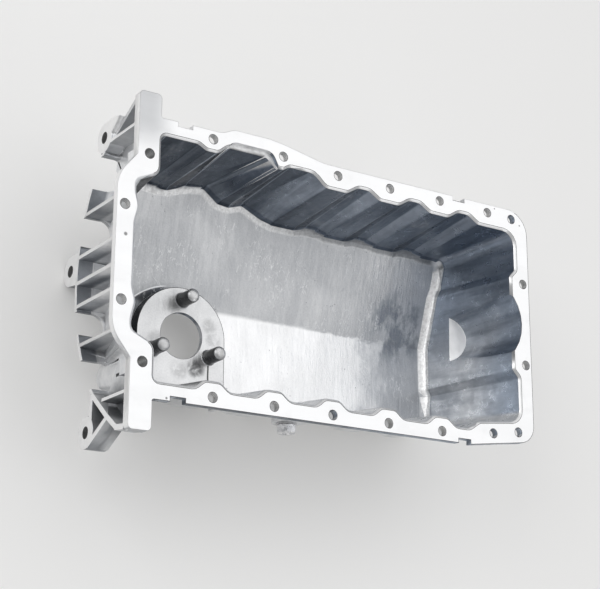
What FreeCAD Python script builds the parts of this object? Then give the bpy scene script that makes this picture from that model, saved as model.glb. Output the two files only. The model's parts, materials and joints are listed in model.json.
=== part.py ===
import FreeCAD, Part
import math
import os

# Cast aluminium engine oil pan with its drain plug and the plug's sealing ring.
# Millimetres. While it is built, x = 0 is the machined gearbox face, y = 0 the crankshaft line
# and z = 0 the machined rail that bolts up to the block. The open side is up.

V = FreeCAD.Vector
UP = V(0, 0, 1)

# Overall
pan_length = 428.0          # gearbox face to the far end of the rail
sump_depth = 118.0          # rail face down to the flat half of the floor
floor_rise = 15.3           # degrees, the other half of the floor climbs from the crease
crease_y = 0.0              # where the two halves of the floor meet
wall = 4.5                  # cast wall
floor_thick = 5.0
foot_reach = 8.0            # how far the curved foot of the wall reaches up and in
foot_chords = 2

# Rail
rail_thick = 6.5
block_thick = 9.0           # the two square corners beside the gearbox
block_length = 21.0
block_half_width = 146.0
edge_break = 1.8            # bevel along the inner edge of the rail
row_near_y = -111.0         # straight bolt row beside the drain plug
row_far_y = 111.5           # straight bolt row on the other side
row_raised = 5.5            # the first two bolts of the far row stand further out
bolt_edge = 8.5             # bolt centre to the outer edge of the rail
bolt_land = 14.0            # bolt centre to the cavity at a bolt
bay_land = 6.5              # row line to the cavity between bolts
bolt_hole = 8.5
column_width = 15.0         # square columns under the rail at the corner bolts
column_drop = 26.0

# Bolt positions
near_first_x = 77.0
near_last_back = 111.0      # from the far end of the rail back to the row's last bolt
near_count = 5
far_first_x = 203.0
far_last_back = 49.5
far_count = 4
raised_x = [72.0, 144.0]
near_tail = [(50.5, 5.0), (20.0, 9.5)]   # from the far end of the rail, and in from the row
far_tail_x = 19.5
end_bolt_inset = 7.5
end_bolt_mid_y = 5.5
end_bolt_half_span = 40.5
block_bolt = (11.0, 90.0)
seal_bolt = (-10.0, 41.0)
seal_edge = 7.5             # bolts under the crank seal to the outer edge of the rail

# Cavity
end_land = 23.0             # far end of the rail to the wall at a bolt
end_bay_land = 16.0
end_wall_lean = 16.0        # how far the far wall comes in over the depth
near_wall_lean = 14.5
far_wall_lean = 10.0
rear_mid_x = 0.0            # cavity edge between the gearbox bolts
rear_mid_lean = 35.0
rear_side_x = 22.0
rear_side_lean = 8.0
shoulder_y = 74.0

# Channel down the far wall
channel_mid_y = 5.0
channel_top_reach = 11.0    # from the far end of the rail to the channel's back
channel_top_radius = 41.0
channel_foot_radius = 23.0
channel_lean = 6.0
channel_depth = 82.0
channel_chords = 14

# Recess in the rail between the two raised bolts
ledge_depth = 3.5
ledge_width = 6.0

# Pry slots along the rail
slot_long = 14.0
slot_deep = 4.2
pry_rear_x = 44.5
pry_front_x = 85.0          # back from the far end

# Level sensor seat
sensor_x = 102.5
sensor_y = -31.0
sensor_hole = 43.0
sensor_rise = 14.0          # seat above the floor
sensor_radius = 45.0
boss_circle = 33.0
boss_width = 12.2
boss_height = 23.0
dome_height = 3.2
boss_angles = [90.0, -30.0, 210.0]
stud_core = 5.0
stud_depth = 19.0

# Gearbox flange
crank_y = 2.0
crank_above_rail = 45.0
lip_radius = 158.0
lip_thick = 4.0
lip_length = 33.0
lip_slots = [(95.5, 25.0, 25.0), (47.5, 25.0, 28.0), (-35.5, 22.0, 26.0), (-86.0, 29.0, 32.0)]
rib_thick = 3.5
rib_places = [62.0, 25.0, 1.5, -20.0, -57.0]
rib_length = 27.0
ear_hole = 10.8
ear_radius = 14.0
ear_thick = 14.0
ear_far = (124.5, -66.5)
ear_mid = (16.5, -124.0)
ear_near = (-136.5, -78.0)
web_back = 21.0
web_thick = 4.0
strut_thick = 5.0

# Drain plug
plug_x = 215.0
plug_above_floor = 15.0
plug_thread = 14.0
plug_fit = 0.05             # running clearance on the radius
plug_shank = 15.5
plug_hex = 17.0
plug_head = 8.0
plug_boss = 28.0
plug_boss_proud = 2.0
ring_outer = 20.0
ring_thick = 1.5

near_pitch = (pan_length - near_last_back - near_first_x) / (near_count - 1)
far_pitch = (pan_length - far_last_back - far_first_x) / (far_count - 1)
near_bolts = [(near_first_x + near_pitch * i, row_near_y) for i in range(near_count)]
far_bolts = [(far_first_x + far_pitch * i, row_far_y) for i in range(far_count)]
raised_bolts = [(x, row_far_y + row_raised) for x in raised_x]
tail_bolts = [(pan_length - back, row_near_y + inward) for back, inward in near_tail]
tail_bolts.append((pan_length - far_tail_x, row_far_y - 1.0))
end_bolts = [(pan_length - end_bolt_inset, end_bolt_mid_y + side * end_bolt_half_span) for side in (-1, 1)]
gearbox_bolts = [(x, side * y) for x, y in (block_bolt, seal_bolt) for side in (-1, 1)]
all_bolts = near_bolts + tail_bolts + end_bolts + far_bolts + raised_bolts + gearbox_bolts

seal_rail_x = seal_bolt[0] - seal_edge
near_edge_y = row_near_y - bolt_edge
far_edge_y = row_far_y + bolt_edge
seat_z = sensor_rise - sump_depth
outer_bottom = sump_depth + floor_thick
floor_slope = math.tan(math.radians(floor_rise))
inside_turn = math.radians(20)    # the trough's round corners are drawn as flats that turn this much
outside_turn = math.radians(45)


def arc_points(before, here, after, radius, chords):
    """Points along the arc that rounds the corner at here, as many as chords need."""
    back = (before - here).normalize()
    ahead = (after - here).normalize()
    half_turn = (math.pi - back.getAngle(ahead)) / 2
    room = 0.48 * min(before.distanceToPoint(here), after.distanceToPoint(here))
    tangent = min(radius * math.tan(half_turn), room)
    if chords == 0 or tangent < 0.02:
        return [here] * (chords + 1)
    radius = tangent / math.tan(half_turn)
    bisector = (back + ahead).normalize()
    centre = here + bisector * (radius / math.cos(half_turn))
    across = (ahead - back).normalize()
    points = []
    for i in range(chords + 1):
        angle = half_turn * (2 * i / chords - 1)
        points.append(centre - bisector * (radius * math.cos(angle)) + across * (radius * math.sin(angle)))
    return points


def rounded_wire(points, z):
    """Closed wire at height z through corners given as x, y and radius, each corner an arc."""
    spots = [V(x, y, z) for x, y, radius in points]
    count = len(points)
    arcs = []
    for i in range(count):
        arcs.append(arc_points(spots[i - 1], spots[i], spots[(i + 1) % count], points[i][2], 2))
    edges = []
    for i in range(count):
        edges.append(Part.Arc(*arcs[i]).toShape())
        edges.append(Part.makeLine(arcs[i][2], arcs[(i + 1) % count][0]))
    return Part.Wire(edges)


def plate(points, z_low, z_high):
    """Flat plate with rounded corners between two heights."""
    face = Part.Face(rounded_wire(points, z_low))
    return face.extrude(V(0, 0, z_high - z_low))


def sharp_plate(points, x_low, x_high):
    """Plate standing across x, its outline given as y and z."""
    corners = [V(x_low, y, z) for y, z in points]
    return Part.Face(Part.makePolygon(corners + corners[:1])).extrude(V(x_high - x_low, 0, 0))


def along_x(radius, y, z, x_low, x_high):
    return Part.makeCylinder(radius, x_high - x_low, V(x_low, y, z), V(1, 0, 0))


def joined(solids):
    """One solid from overlapping ones, with the seams between coplanar faces removed."""
    return solids[0].fuse(solids[1:]).removeSplitter()


def cavity_corners():
    """Corners of the cavity, anticlockwise: x and y at the rail, x and y at the foot, radius."""
    near_bay = row_near_y + bay_land
    near_land = row_near_y + bolt_land
    far_bay = row_far_y - bay_land
    far_land = row_far_y - bolt_land
    far_foot = far_land - far_wall_lean
    end_wall = pan_length - end_land
    end_bay = pan_length - end_bay_land
    end_foot = end_wall - end_wall_lean
    side_foot = rear_side_x + rear_side_lean
    mid_foot = rear_mid_x + rear_mid_lean
    rear_foot = near_bay + near_wall_lean + 5
    corners = [(rear_side_x, near_bay, side_foot, rear_foot, 5)]
    corners.append((near_bolts[0][0] - 17, near_bay, near_bolts[0][0] - 17, rear_foot, 8))
    for x, y in near_bolts:
        for dx, top in ((-17, near_bay), (-8, near_land), (8, near_land), (17, near_bay)):
            if (x, dx) == (near_first_x, -17):
                continue
            corners.append((x + dx, top, x + dx, top + near_wall_lean - 1.5 * (top == near_land), 8))
    tail_x = end_wall - 47
    corners.append((tail_x - 9, near_bay, tail_x - 14, near_bay + near_wall_lean, 8))
    corners.append((tail_x + 3, near_bay + 8, tail_x - 3, near_bay + near_wall_lean + 3, 9))
    corners.append((end_bay, near_bay + 14, end_foot + 1.5, near_bay + near_wall_lean + 6, 13))
    for side in (-1, 1):
        middle = end_bolt_mid_y + side * end_bolt_half_span
        steps = ((side * 13, end_bay, 1.5), (side * 6, end_wall, 0))
        if side > 0:
            steps = steps[::-1]
        for dy, top, bottom in steps:
            corners.append((top, middle + dy, end_foot + bottom, middle + dy, 5))
    corners.append((end_bay, far_land, end_foot + 1.5, far_foot, 14))
    for (x, y), (x_next, y_next) in zip(far_bolts[:0:-1], far_bolts[-2::-1]):
        middle = (x + x_next) / 2
        for dx, top, bottom in ((18, far_land, 0), (6, far_bay, 1.5), (-6, far_bay, 1.5), (-18, far_land, 0)):
            corners.append((middle + dx, top, middle + dx, far_foot + bottom, 9))
    step_x = far_bolts[0][0] - 13
    last_x = raised_bolts[1][0]
    first_x = raised_bolts[0][0]
    raised_land = raised_bolts[0][1] - 12
    corners.append((step_x, far_land, step_x - 2, far_foot, 10))
    corners.append((step_x - 13, far_bay + 4, step_x - 15.5, far_foot + 1, 12))
    corners.append((last_x + 7, far_bay + 4, last_x + 11, far_foot + 11.5, 7))
    corners.append((last_x + 1, raised_land, last_x - 5, far_foot + 7, 5))
    corners.append((last_x - 6, raised_land, last_x - 18, far_foot + 8.5, 5))
    corners.append((last_x - 15, raised_land + 9, last_x - 38, far_foot + 19.5, 9))
    corners.append((first_x + 16, raised_land + 9, first_x + 21, far_foot + 16.5, 9))
    corners.append((first_x + 6, raised_land + 0.5, first_x + 2, far_foot + 11, 8))
    corners.append((first_x - 6, raised_land + 0.5, first_x - 9, far_foot + 11, 9))
    corners.append((first_x - 14, far_bay + 5, first_x - 18, far_foot + 11, 9))
    corners.append((rear_side_x, far_bay + 5, side_foot, far_foot + 11, 5))
    for side in (1, -1):
        steps = [(rear_side_x, shoulder_y, side_foot, 10), (rear_mid_x, shoulder_y - 10, mid_foot, 12)]
        steps.append((rear_mid_x, seal_bolt[1] + 14, mid_foot, 10))
        steps.append((rear_mid_x + 3.5, seal_bolt[1], mid_foot + 1, 12))
        steps.append((rear_mid_x, seal_bolt[1] - 13, mid_foot, 12))
        if side < 0:
            steps = steps[::-1]
        for top, y, bottom, radius in steps:
            corners.append((top, side * y, bottom, side * y, radius))
    return corners


def outline_at(corners, depth, outset):
    """Corners at a depth below the rail, moved outwards by a wall thickness."""
    share = depth / sump_depth
    flat = []
    for x_top, y_top, x_foot, y_foot, radius in corners:
        flat.append((x_top + (x_foot - x_top) * share, y_top + (y_foot - y_top) * share, radius))
    moved = []
    count = len(flat)
    for i in range(count):
        x, y, radius = flat[i]
        inward = V(x - flat[i - 1][0], y - flat[i - 1][1], 0).normalize()
        onward = V(flat[(i + 1) % count][0] - x, flat[(i + 1) % count][1] - y, 0).normalize()
        turn = inward.x * onward.y - inward.y * onward.x
        normal = V(inward.y + onward.y, -inward.x - onward.x, 0).normalize()
        reach = outset / (normal.x * inward.y - normal.y * inward.x)
        new_radius = max(radius + outset if turn > 0 else radius - outset, 1.0)
        moved.append((x + normal.x * reach, y + normal.y * reach, new_radius))
    return moved


def chord_ring(corners, z, chords):
    """Points at height z round an outline, each rounded corner drawn with its number of chords."""
    spots = [V(x, y, z) for x, y, radius in corners]
    count = len(corners)
    ring = []
    for i in range(count):
        ring += arc_points(spots[i - 1], spots[i], spots[(i + 1) % count], corners[i][2], chords[i])
    return ring


def corner_chords(corners, most_turn):
    """Number of chords for each corner, from how far the outline turns there."""
    count = len(corners)
    chords = []
    for i in range(count):
        x, y = corners[i][:2]
        inward = V(x - corners[i - 1][0], y - corners[i - 1][1], 0)
        onward = V(corners[(i + 1) % count][0] - x, corners[(i + 1) % count][1] - y, 0)
        chords.append(math.ceil(inward.getAngle(onward) / most_turn - 0.15))
    return chords


def flat_face(points):
    """Faces on a closed run of points: one if they lie flat, or else triangles."""
    kept = [p for i, p in enumerate(points) if p.distanceToPoint(points[i - 1]) > 1e-5]
    normal = V(0, 0, 0)
    for i in range(len(kept)):
        normal += (kept[i - 1] - kept[0]).cross(kept[i] - kept[0])
    if normal.Length < 1e-6:
        return []
    normal.normalize()
    if max(abs((p - kept[0]).dot(normal)) for p in kept) < 1e-6:
        return [Part.Face(Part.makePolygon(kept + kept[:1]))]
    return flat_face(kept[:3]) + flat_face([kept[0]] + kept[2:])


def flat_sided(rings, beds=None):
    """Solid with flat sides between rings of equally many points, from the top ring down."""
    faces = flat_face(rings[0])
    for ring, below in zip(rings, rings[1:]):
        for i in range(len(ring)):
            faces += flat_face([ring[i - 1], ring[i], below[i], below[i - 1]])
    for bed in beds or [rings[-1]]:
        faces += flat_face(bed)
    shell = Part.makeShell(faces)
    shell.sewShape()
    solid = Part.makeSolid(shell)
    return solid if solid.Volume > 0 else solid.reversed()


def floor_plane(drop):
    """Where the sloping half of the floor starts, and the level of the flat half, lowered by drop."""
    level = -sump_depth - drop
    low = -sump_depth - drop / math.cos(math.radians(floor_rise))
    return crease_y + (level - low) / floor_slope, level


def on_floor(top, foot, drop):
    """Point where the straight line down a wall meets the two-part floor."""
    start, level = floor_plane(drop)
    down = foot - top
    flat = top + down * ((level - top.z) / down.z)
    if flat.y <= start + 1e-6:
        return flat
    share = (level + (top.y - start) * floor_slope - top.z) / (down.z - down.y * floor_slope)
    return top + down * share


def between(line, other, share):
    """Line part of the way from one wall line to the next."""
    return line[0] + (other[0] - line[0]) * share, line[1] + (other[1] - line[1]) * share


def crease_line(line, other, drop):
    """Wall line between two others that comes down exactly where the halves of the floor meet."""
    start = floor_plane(drop)[0]
    rising = on_floor(*other, drop).y > on_floor(*line, drop).y
    low, high = 0.0, 1.0
    for _ in range(40):
        share = (low + high) / 2
        if (on_floor(*between(line, other, share), drop).y < start) == rising:
            low = share
        else:
            high = share
    return between(line, other, share)


def wall_lines(corners, outset, drop, most_turn):
    """Straight lines down the walls, from the rail to the depth of the flat floor, as pairs of points.

    One more line stands at each wall where the two halves of the floor meet.
    """
    chords = corner_chords(corners, most_turn)
    upper = chord_ring(outline_at(corners, 0, outset), 0, chords)
    lower = chord_ring(outline_at(corners, sump_depth, outset), -sump_depth, chords)
    start = floor_plane(drop)[0]
    lines = []
    count = len(upper)
    for i in range(count):
        j = (i + 1) % count
        here = (upper[i], lower[i])
        ahead = (upper[j], lower[j])
        lines.append(here)
        if (on_floor(*here, drop).y < start) != (on_floor(*ahead, drop).y < start):
            lines.append(crease_line(here, ahead, drop))
    return lines


def trough(corners, outset, drop, reach, rim, most_turn):
    """Closed trough: leaning walls, a curved foot of the given reach and the two-part floor.

    rim gives the rings above the foot, as height and outset.
    """
    rings = []
    for z, spread in rim:
        lines = wall_lines(corners, outset + spread, drop, most_turn)
        rings.append([top + (foot - top) * (-z / sump_depth) for top, foot in lines])
    walls = wall_lines(corners, outset, drop, most_turn)
    feet = [on_floor(top, foot, drop) for top, foot in walls]
    inner_lines = wall_lines(corners, outset - reach, drop, most_turn)
    inner = [on_floor(top, foot, drop) for top, foot in inner_lines]
    upper = [corner + (top - corner).normalize() * reach for corner, (top, foot) in zip(feet, walls)]
    for i in range(foot_chords + 1):
        u = i / foot_chords
        ring = [a * (1 - u) ** 2 + b * (2 * u * (1 - u)) + c * u ** 2 for a, b, c in zip(upper, feet, inner)]
        rings.append(ring)
    start = floor_plane(drop)[0]
    flat = [p for p in rings[-1] if p.y <= start + 1e-5]
    slope = [p for p in rings[-1] if p.y >= start - 1e-5]
    return flat_sided(rings, [flat, slope])


def channel(outset, top_z):
    """Half-round channel down the far wall, wider at the rail, ending on a flat shelf."""
    depth = channel_depth + outset
    back = pan_length - channel_top_reach + outset
    front = pan_length - end_land - 25
    rings = []
    for z in (top_z, -depth):
        share = -z / channel_depth
        radius = channel_top_radius + (channel_foot_radius - channel_top_radius) * share + outset
        x = back - channel_lean * share - radius
        arc = []
        for i in range(channel_chords + 1):
            angle = math.pi * (i / channel_chords - 0.5)
            arc.append(V(x + radius * math.cos(angle), channel_mid_y + radius * math.sin(angle), z))
        rings.append([V(front, arc[0].y, z)] + arc + [V(front, arc[-1].y, z)])
    return flat_sided(rings)


def rail():
    """Machined rail with its two square corners and the rounded tongue under the crank seal."""
    raised_edge = raised_bolts[0][1] + 13.5
    mid_edge = far_edge_y + 5
    near_slope_x = pan_length - 78
    points = [(0, -block_half_width, 4), (block_length, -block_half_width, 4)]
    points += [(block_length, near_edge_y, 2), (near_slope_x, near_edge_y, 40)]
    points += [(pan_length - 0.5, tail_bolts[1][1] - 7.5, 18), (pan_length, far_edge_y, 24)]
    points += [(far_bolts[0][0] - 15, far_edge_y, 60), (raised_bolts[1][0] + 1, raised_edge - 2, 60)]
    points += [(raised_bolts[1][0] - 14, raised_edge, 40), (raised_bolts[0][0] + 21, raised_edge, 14)]
    points += [(raised_bolts[0][0] + 9, mid_edge, 14), (block_length, mid_edge, 2)]
    points += [(block_length, block_half_width, 7), (0, block_half_width, 6)]
    shoulder = block_bolt[1] - 2
    tongue = seal_bolt[1] + 25
    points += [(0, shoulder, 4), (seal_rail_x, tongue, 30), (seal_rail_x, -tongue, 30), (0, -shoulder, 4)]
    solids = [plate(points, -rail_thick, 0)]
    for side in (-1, 1):
        low = min(side * block_half_width, side * shoulder)
        block = Part.makeBox(block_length, block_half_width - shoulder, block_thick, V(0, low, -block_thick))
        corners = [e for e in block.Edges if abs(e.CenterOfMass.y - side * block_half_width) < 0.01
                   and e.Length < block_thick + 0.01]
        solids.append(block.makeFillet(4, corners))
    for x, y in gearbox_bolts[:2]:
        low = V(x - column_width / 2, y - column_width / 2, -column_drop)
        solids.append(Part.makeBox(column_width, column_width, column_drop - 1, low))
    return joined(solids)


def rail_cuts():
    """Bolt holes, pry slots and the recess between the raised bolts."""
    cuts = []
    for x, y in all_bolts:
        cuts.append(Part.makeCylinder(bolt_hole / 2, 60, V(x, y, -55)))
    for x in (pry_rear_x, pan_length - pry_front_x):
        near = near_edge_y
        far = far_edge_y + (5 if x < raised_x[0] else 0)
        cuts.append(Part.makeBox(slot_long, slot_deep + 6, 40, V(x - slot_long / 2, near - 6, -30)))
        cuts.append(Part.makeBox(slot_long, slot_deep + 6, 40, V(x - slot_long / 2, far - slot_deep, -30)))
    low_y = raised_bolts[0][1] - 12.5
    high_y = low_y + 8.5 + ledge_width
    first_x = raised_bolts[0][0]
    last_x = raised_bolts[1][0]
    points = [(first_x + 5, low_y - 4, 3), (last_x - 2, low_y - 4, 3)]
    points += [(last_x - 12, high_y, 10), (first_x + 20, high_y, 10)]
    cuts.append(plate(points, -ledge_depth, 1))
    return cuts


def lip():
    """Arc of the gearbox flange, open at four places for the bolts behind it."""
    centre = V(0, crank_y, crank_above_rail)
    outer = Part.makeCylinder(lip_radius, lip_length, centre, V(1, 0, 0))
    inner = Part.makeCylinder(lip_radius - lip_thick, lip_length, centre, V(1, 0, 0))
    far_end = ear_far[0] - ear_radius
    near_end = ear_near[0] + ear_radius + 17.5
    low = Part.makeBox(lip_length, far_end - near_end, 120, V(0, near_end, -121))
    arc = outer.cut(inner).common(low)
    for y, width, depth in lip_slots:
        radius = width / 2
        slot = Part.makeBox(depth - radius + 1, width, 200, V(-1, y - radius, -180))
        arc = arc.cut(slot).cut(Part.makeCylinder(radius, 200, V(depth - radius, y, -180)))
    return arc


def lip_height(y):
    """Height of the lip's middle at a place across the pan."""
    radius = lip_radius - lip_thick / 2
    return crank_above_rail - math.sqrt(radius ** 2 - (y - crank_y) ** 2)


def strut(start, end, x_low, x_high, thick):
    """Straight web between two points given as y and z."""
    dy = end[0] - start[0]
    dz = end[1] - start[1]
    size = math.hypot(dy, dz)
    side = (-dz / size * thick / 2, dy / size * thick / 2)
    points = [(start[0] + side[0], start[1] + side[1]), (end[0] + side[0], end[1] + side[1])]
    points += [(end[0] - side[0], end[1] - side[1]), (start[0] - side[0], start[1] - side[1])]
    return sharp_plate(points, x_low, x_high)


def flange():
    """Lip, ribs and the three ears that the gearbox bolts to."""
    solids = [lip()]
    for y in rib_places:
        low = lip_height(y)
        solids.append(Part.makeBox(rib_length, rib_thick, -low - 4, V(0, y - rib_thick / 2, low)))
    # far ear: a boss on a sloping web, a closed pocket and one rib behind the square corner
    far_y, far_z = ear_far
    lip_far = (far_y - ear_radius, -72.0)
    block_far = (block_half_width - 2.0, -block_thick + 1)
    knee = (far_y + 11.5, -38.0)
    solids.append(along_x(ear_radius, far_y, far_z, 0, ear_thick))
    cheek = [lip_far, (far_y - 3, far_z - 13.5), (far_y + ear_radius, far_z), (far_y + ear_radius, -48.0), knee]
    solids.append(sharp_plate(cheek, 0, ear_thick))
    solids.append(strut(lip_far, block_far, 2.5, web_back, web_thick))
    back = [lip_far, block_far, (shoulder_y, -block_thick + 1), (shoulder_y, -50), (100, -76)]
    solids.append(sharp_plate(back, web_back - web_thick, web_back))
    rib_y = far_y - 7
    rib_low = -60.0
    rib_box = Part.makeBox(web_back - 1, 3, -rib_low - 6, V(0, rib_y - 1.5, rib_low))
    solids.append(rib_box)
    # middle ear: a round boss hanging under the lip
    mid_y, mid_z = ear_mid
    solids.append(along_x(ear_radius, mid_y, mid_z, 0, ear_thick))
    top_z = lip_height(mid_y) + 1
    hang = [(mid_y - ear_radius, mid_z), (mid_y + ear_radius, mid_z), (mid_y + ear_radius, top_z)]
    hang.append((mid_y - ear_radius - 2, top_z))
    solids.append(sharp_plate(hang, 0, ear_thick))
    # near ear: a boss held by crossed struts with open triangles between them
    near_y, near_z = ear_near
    lip_near = (near_y + ear_radius + 17, -69.5)
    node = (near_y + 6.5, -38.5)
    block_near = (-block_half_width + 3, -block_thick + 1)
    solids.append(along_x(ear_radius, near_y, near_z, 0, web_back - 2))
    solids.append(strut(block_near, (near_y - 4.5, -24), 0, web_back - 2, strut_thick))
    solids.append(strut((near_y - 4.5, -22), node, 0, web_back - 2, strut_thick))
    solids.append(strut(node, lip_near, 0, web_back - 2, strut_thick))
    solids.append(strut(node, (near_y - ear_radius + 2.4, near_z + 4), 0, web_back - 2, strut_thick))
    solids.append(strut(lip_near, (near_y + 9, near_z + 8), 0, web_back - 2, strut_thick))
    back = [lip_near, (near_y + 5, near_z), (near_y - 11, near_z + 2), node, (near_y - 5, -24), block_near]
    back += [(-shoulder_y, -block_thick + 1), (-shoulder_y, -50)]
    solids.append(sharp_plate(back, web_back - 2 - web_thick, web_back - 2))
    solids.append(Part.makeBox(web_back - 3, 3, 44, V(0, near_y + 21, -50)))
    return solids


def seat_plan(radius, near_end, z_low, z_high):
    """Round seat of the level sensor, run out straight to the near wall."""
    disc = Part.makeCylinder(radius, z_high - z_low, V(sensor_x, sensor_y, z_low))
    tail = Part.makeBox(2 * radius, sensor_y - near_end, z_high - z_low, V(sensor_x - radius, near_end, z_low))
    return disc.fuse(tail).removeSplitter()


def sensor_seat():
    near_end = row_near_y + bay_land + near_wall_lean - 2.5
    return seat_plan(sensor_radius, near_end, -outer_bottom, seat_z)


def sensor_bosses():
    """Three domed blind bosses round the sensor hole."""
    ball = ((boss_width / 2) ** 2 + dome_height ** 2) / (2 * dome_height)
    spread = math.asin(boss_width / 2 / ball)
    bosses = []
    for angle in boss_angles:
        x = sensor_x + boss_circle * math.cos(math.radians(angle))
        y = sensor_y + boss_circle * math.sin(math.radians(angle))
        side_x = x + boss_width / 2
        shoulder = V(side_x, y, seat_z + boss_height - dome_height)
        tip = V(x, y, seat_z + boss_height)
        middle = tip - UP * ball * (1 - math.cos(spread / 2)) + V(ball * math.sin(spread / 2), 0, 0)
        edges = [Part.makeLine(V(side_x, y, seat_z - 2), shoulder), Part.Arc(shoulder, middle, tip).toShape()]
        edges.append(Part.makeLine(tip, V(x, y, seat_z - 2)))
        edges.append(Part.makeLine(V(x, y, seat_z - 2), V(side_x, y, seat_z - 2)))
        bosses.append(Part.Face(Part.Wire(edges)).revolve(V(x, y, 0), UP, 360))
    return bosses


def sensor_cuts():
    """Recess under the seat, the sensor hole and the threaded blind holes."""
    recess_top = seat_z - floor_thick
    cuts = [seat_plan(sensor_radius - floor_thick, row_near_y - 30, -outer_bottom - 20, recess_top)]
    cuts.append(Part.makeCylinder(sensor_hole / 2, 60, V(sensor_x, sensor_y, seat_z - 30)))
    for angle in boss_angles:
        x = sensor_x + boss_circle * math.cos(math.radians(angle))
        y = sensor_y + boss_circle * math.sin(math.radians(angle))
        cuts.append(Part.makeCylinder(stud_core / 2, stud_depth + 1, V(x, y, recess_top - 1)))
    return cuts


plug_z = plug_above_floor - sump_depth
plug_share = -plug_z / sump_depth
wall_inside_y = row_near_y + bay_land + near_wall_lean * plug_share
plug_face_y = wall_inside_y - wall - plug_boss_proud


def along_y(radius, y_low, y_high):
    """Turned form on the drain plug's axis."""
    return Part.makeCylinder(radius, y_high - y_low, V(plug_x, y_low, plug_z), V(0, 1, 0))


def casting():
    corners = cavity_corners()
    outer = trough(corners, wall, floor_thick, foot_reach + 2, [(-rail_thick + 2, 0)], outside_turn)
    cavity = trough(corners, 0, 0, foot_reach, [(1, edge_break + 1), (-edge_break, 0)], inside_turn)
    solids = [outer, channel(wall, -rail_thick + 2), rail()] + flange()
    solids.append(along_y(plug_boss / 2, plug_face_y, wall_inside_y + 2))
    body = solids[0].fuse(solids[1:])
    body = body.cut([cavity, channel(0, 1)])
    seat = sensor_seat()
    body = body.fuse([seat] + sensor_bosses())
    cuts = rail_cuts() + sensor_cuts()
    for y, z in (ear_far, ear_mid, ear_near):
        cuts.append(along_x(ear_hole / 2, y, z, -5, web_back + 12))
    cuts.append(along_y(plug_thread / 2, plug_face_y - 5, wall_inside_y + 25))
    body = body.cut(cuts)
    return body.removeSplitter()


def drain_plug():
    """Hexagon screw; its thread is a plain shank."""
    seat_y = plug_face_y - ring_thick
    shank_radius = plug_thread / 2 - plug_fit
    shank = along_y(shank_radius, seat_y, seat_y + plug_shank)
    corner = plug_hex / math.sqrt(3)
    head_y = seat_y - plug_head
    points = []
    for i in range(6):
        angle = math.radians(60 * i)
        points.append(V(plug_x + corner * math.cos(angle), head_y, plug_z + corner * math.sin(angle)))
    hexagon = Part.Face(Part.makePolygon(points + points[:1])).extrude(V(0, plug_head, 0))
    cap = Part.makeCone(corner - 1.2, corner + plug_head, plug_head + 1.2, V(plug_x, head_y, plug_z), V(0, 1, 0))
    return joined([shank, hexagon.common(cap)])


def drain_plug_seal():
    """Flat ring clamped between the plug's head and the casting."""
    ring = along_y(ring_outer / 2, plug_face_y - ring_thick, plug_face_y)
    return ring.cut(along_y(plug_thread / 2 + plug_fit, plug_face_y - 5, plug_face_y + 5))


pieces = {
    "oil_pan": casting(),
    "drain_plug": drain_plug(),
    "drain_plug_seal": drain_plug_seal(),
}

# The finished pan stands on its lowest point with the middle of its outline at the origin.
middle_x = (pan_length + seal_rail_x) / 2
middle_y = (block_half_width + ear_near[0] - ear_radius) / 2
lowest = ear_mid[1] - ear_radius
os.makedirs("parts", exist_ok=True)
for name, shape in pieces.items():
    shape.translate(V(-middle_x, -middle_y, -lowest))
    shape.exportStep("parts/" + name + ".step")
    print(name, "solids", len(shape.Solids), "valid", shape.isValid(), "volume", round(shape.Volume))
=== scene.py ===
"""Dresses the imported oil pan: soft cast edges, cast and machined aluminium, threaded drain plug and ring."""
import json

import bmesh
import bpy
import numpy as np
from mathutils import Matrix, Vector
from mathutils.bvhtree import BVHTree


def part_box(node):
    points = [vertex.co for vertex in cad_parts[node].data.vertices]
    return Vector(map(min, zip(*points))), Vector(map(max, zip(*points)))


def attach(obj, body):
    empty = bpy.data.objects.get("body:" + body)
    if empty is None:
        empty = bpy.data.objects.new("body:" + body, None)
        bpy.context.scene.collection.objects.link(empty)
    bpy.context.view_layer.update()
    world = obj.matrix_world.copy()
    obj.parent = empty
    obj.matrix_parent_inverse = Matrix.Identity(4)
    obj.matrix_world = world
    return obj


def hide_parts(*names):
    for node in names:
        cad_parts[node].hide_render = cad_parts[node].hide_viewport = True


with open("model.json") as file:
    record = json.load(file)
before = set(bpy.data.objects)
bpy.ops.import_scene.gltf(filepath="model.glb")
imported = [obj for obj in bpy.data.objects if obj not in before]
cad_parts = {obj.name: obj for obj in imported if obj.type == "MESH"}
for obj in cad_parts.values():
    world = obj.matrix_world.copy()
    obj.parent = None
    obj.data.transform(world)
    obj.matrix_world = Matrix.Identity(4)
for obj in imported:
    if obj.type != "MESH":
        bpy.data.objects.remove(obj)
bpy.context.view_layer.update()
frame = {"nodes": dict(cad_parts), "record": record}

# Planes of the casting, in metres
RAIL_Z = 0.138
GEARBOX_X = -0.20525
SHELF_Z = 0.056

# Shapes that the visual model adds to the casting
BROKEN_EDGE = 0.0004
# width of the strip that is painted as a dark shade line
SHADE_LINE_WIDTH = 0.0005
SHELF_TILT = 0.3
BOSS_RADIUS = 0.0066
BOSS_DOME = 0.0034
BOSS_FOOT = 0.0015
BOSS_FLARE = 0.0016

# How far from its middle a bolt hole, a screw boss and the inner part of the seat reach
HOLE_REACH = 0.0046
BOSS_REACH = 0.0072
SEAT_REACH = 0.040

# Camera worked out from the bolt rows in the photograph
CAMERA_PLACE = (-0.74125, -0.39125, 1.2077)
CAMERA_RIGHT = (0.8365, 0.0053, 0.5479)
CAMERA_UP = (-0.1625, 0.9573, 0.2389)
CAMERA_BACK = (-0.5233, -0.2889, 0.8017)
FOCAL_IN_PICTURE_WIDTHS = 1529.5 / 600


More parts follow.
